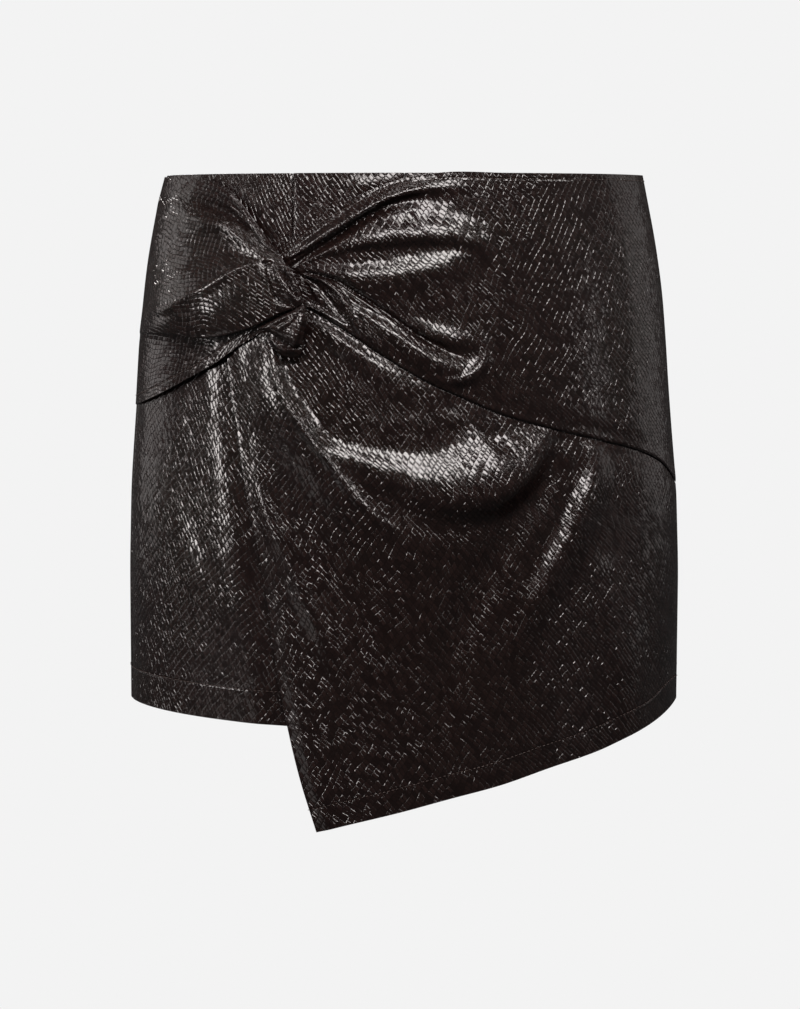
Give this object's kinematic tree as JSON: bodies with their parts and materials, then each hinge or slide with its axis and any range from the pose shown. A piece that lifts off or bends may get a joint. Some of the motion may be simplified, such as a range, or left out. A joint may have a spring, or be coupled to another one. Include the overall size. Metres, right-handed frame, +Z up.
{
  "type": "knotted skort",
  "caption": "Short skort, worn shape: shorts under a wrap front with a pointed hem, its gathered yoke and sash drawn into a knot at the hip; back zip.",
  "frame": {"origin": "middle of the waist opening, at the height of the waist edge", "axes": "+Z up, out of the waist; -Y the front; +X the wearer's left"},
  "size_m": [0.3403, 0.2598, 0.3886],
  "materials": {
    "embossed_polyurethane": "glossy dark brown polyurethane-coated cloth, embossed with small scales",
    "zip_tape_polyester": "woven polyester tape, dyed to match",
    "zip_enamelled_zinc": "enamelled zinc alloy, satin"
  },
  "bodies": {
    "skort": {"shorts_front_side_right": "embossed_polyurethane", "shorts_front_right": "embossed_polyurethane", "shorts_front_left": "embossed_polyurethane", "shorts_back_right": "embossed_polyurethane", "shorts_back_left": "embossed_polyurethane", "wrap_yoke": "embossed_polyurethane", "wrap_panel": "embossed_polyurethane", "sash": "embossed_polyurethane", "knot_loop": "embossed_polyurethane", "zip_tape": "zip_tape_polyester", "zip_slider": "zip_enamelled_zinc"},
    "zip_pull": {"zip_pull": "zip_enamelled_zinc"}
  },
  "joints": [
    {"name": "zip_pull_hinge", "type": "hinge", "parent": "skort", "child": "zip_pull", "pos_m": [0, 0.10153, -0.00815], "axis": [1, 0, 0], "range_deg": [0, 165]}
  ]
}
